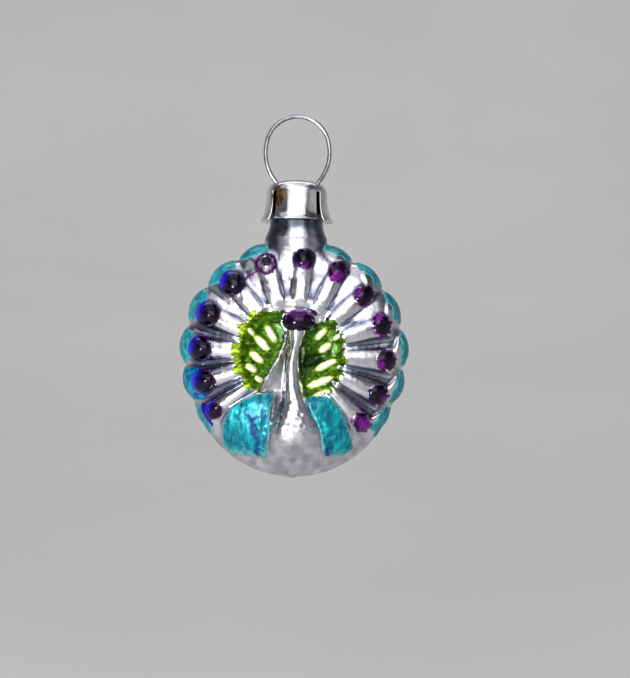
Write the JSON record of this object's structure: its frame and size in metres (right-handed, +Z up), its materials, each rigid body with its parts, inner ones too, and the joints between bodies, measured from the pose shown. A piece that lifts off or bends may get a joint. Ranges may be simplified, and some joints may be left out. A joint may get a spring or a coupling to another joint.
{
  "type": "blown glass bird hanging ornament",
  "caption": "Miniature silvered blown-glass peacock ornament with a fanned scalloped tail, painted eyes and wings, and a pressed petal cap with a sprung wire hanging loop.",
  "frame": {"origin": "top of the hanging loop's inside, where a hook bears", "axes": "+Z up, the way the ornament hangs; the bird faces -Y; +X to the viewer's right when seen from the front"},
  "size_m": [0.0356, 0.0141, 0.056],
  "materials": {
    "silvered_glass": "thin glass silvered inside, slightly frosted lilac-grey mirror",
    "violet_lacquer": "transparent violet lacquer, glossy, near black where thick",
    "teal_lacquer": "transparent teal lacquer, glossy, streaky",
    "green_lacquer": "transparent yellow-green lacquer, glossy",
    "tinplate": "bright pressed tinplate",
    "spring_wire": "bright drawn steel wire"
  },
  "bodies": {
    "hanger": {"hanger_wire": "spring_wire"},
    "cap": {"cap": "tinplate"},
    "glass": {"glass_body": "silvered_glass", "glass_neck": "silvered_glass", "tail_eye_lacquer": "violet_lacquer", "tail_tip_lacquer": "teal_lacquer", "covert_lacquer": "green_lacquer", "wing_lacquer": "teal_lacquer", "crest_lacquer": "violet_lacquer"}
  },
  "joints": [
    {"name": "hanger_tilt", "type": "hinge", "parent": "hanger", "child": "cap", "pos_m": [0, 0, -0.01005], "axis": [1, 0, 0], "range_deg": [-8, 8]},
    {"name": "glass_pull", "type": "slide", "parent": "cap", "child": "glass", "axis": [0, 0, -1], "range_m": [0, 0.0165]}
  ]
}
